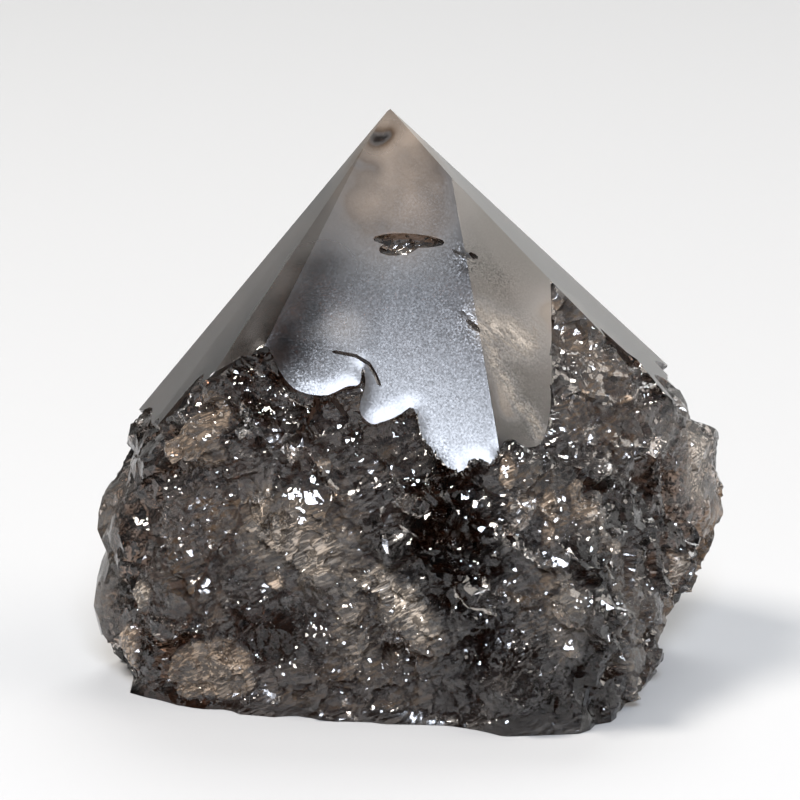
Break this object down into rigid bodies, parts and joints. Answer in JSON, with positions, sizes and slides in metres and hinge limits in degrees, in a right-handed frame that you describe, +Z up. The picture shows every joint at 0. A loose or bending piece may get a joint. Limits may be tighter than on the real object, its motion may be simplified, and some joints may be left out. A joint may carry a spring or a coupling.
{
  "type": "smoky quartz point",
  "caption": "See-through brown quartz lump with broken, crumbly sides, a top ground to a polished point and a flat sawn base; a display stone that stands on its own.",
  "frame": {"origin": "middle of the stone's box, on the sawn base", "axes": "+Z up through the point, -Y towards the best polished face, +X to that face's right"},
  "size_m": [0.0778, 0.0566, 0.07],
  "materials": {
    "smoky_quartz": "gloss"
  },
  "bodies": {
    "root": {"crystal": "smoky_quartz"}
  },
  "joints": []
}
